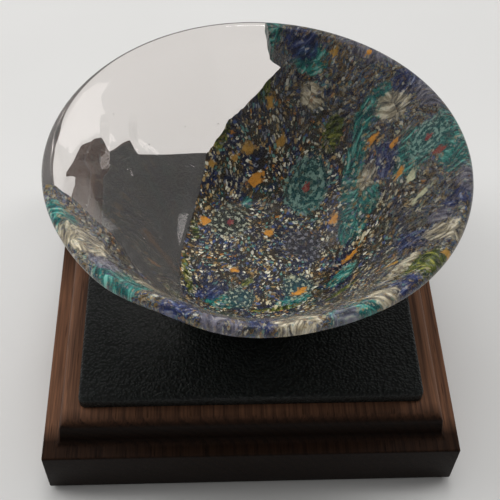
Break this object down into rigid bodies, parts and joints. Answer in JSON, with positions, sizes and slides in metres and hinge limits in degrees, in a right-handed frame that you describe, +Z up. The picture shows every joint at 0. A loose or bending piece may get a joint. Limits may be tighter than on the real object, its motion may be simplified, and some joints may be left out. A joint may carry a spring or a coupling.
{
  "type": "art glass bowl",
  "caption": "flared mosaic glass bowl with a clear glass infill, standing on a square moulded wood plinth with a leatherette panel",
  "frame": {"origin": "centre of the plinth's underside, on the face of the baize", "axes": "+X right, +Y to the back, +Z up; the clear infill is at the back left"},
  "size_m": [0.1537, 0.152, 0.0997],
  "materials": {
    "mosaic_glass": "polished, nearly opaque, many-coloured",
    "clear_glass": "clear, faintly warm, with small bubbles",
    "dark_wood": "dark stained, satin wax",
    "board": "plain sanded board",
    "leatherette": "fine pebble grain, black",
    "screw_steel": "plain zinc plated",
    "baize": "short wool nap"
  },
  "bodies": {
    "plinth": {"plinth_block": "dark_wood", "panel_board": "board", "leatherette_cover": "leatherette", "fixing_screws": "screw_steel", "baize_underlay": "baize"},
    "bowl": {"mosaic_glass_wall": "mosaic_glass", "clear_glass_infill": "clear_glass"}
  },
  "joints": [
    {"name": "bowl_lift", "type": "slide", "parent": "plinth", "child": "bowl", "axis": [0, 0, 1], "range_m": [0, 0.12]}
  ]
}
